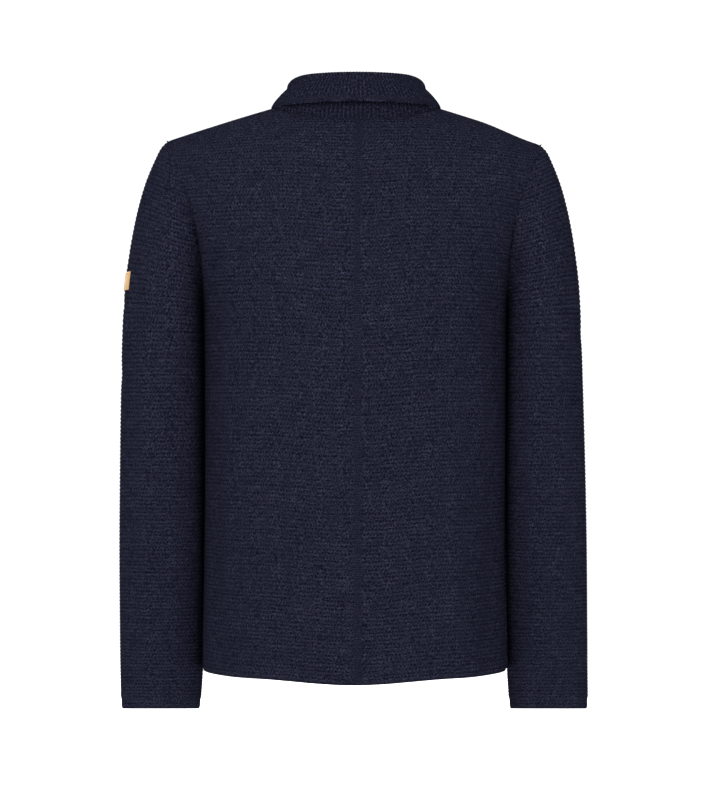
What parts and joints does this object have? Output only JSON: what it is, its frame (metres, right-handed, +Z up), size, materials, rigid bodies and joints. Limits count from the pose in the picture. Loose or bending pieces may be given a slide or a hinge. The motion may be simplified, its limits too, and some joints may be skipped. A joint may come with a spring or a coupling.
{
  "type": "knit jacket",
  "caption": "Straight knit jacket with long set-in sleeves, a folded rib-knit collar and a buttoned front, hollow as when worn.",
  "frame": {"origin": "centre of the neck opening, 4 mm below the points where the collar meets the shoulders, where the wearer holds the jacket up", "axes": "+Z up along the wearer's spine, the front faces -Y, the back faces +Y and the wearer's left is +X"},
  "size_m": [0.5567, 0.2556, 0.7518],
  "materials": {
    "navy_knit": "purl-side wool knit, matt, with fine ridges across",
    "navy_rib": "rib-knit wool, matt",
    "navy_button": "smooth, satin",
    "tan_leather": "smooth, satin"
  },
  "bodies": {
    "root": {"back_left": "navy_knit", "back_right": "navy_knit", "front_left": "navy_knit", "front_right": "navy_knit", "sleeve_left": "navy_knit", "sleeve_right": "navy_knit", "collar": "navy_rib", "button_1": "navy_button", "button_2": "navy_button", "button_3": "navy_button", "button_4": "navy_button", "button_5": "navy_button", "sleeve_tag": "tan_leather"}
  },
  "joints": []
}
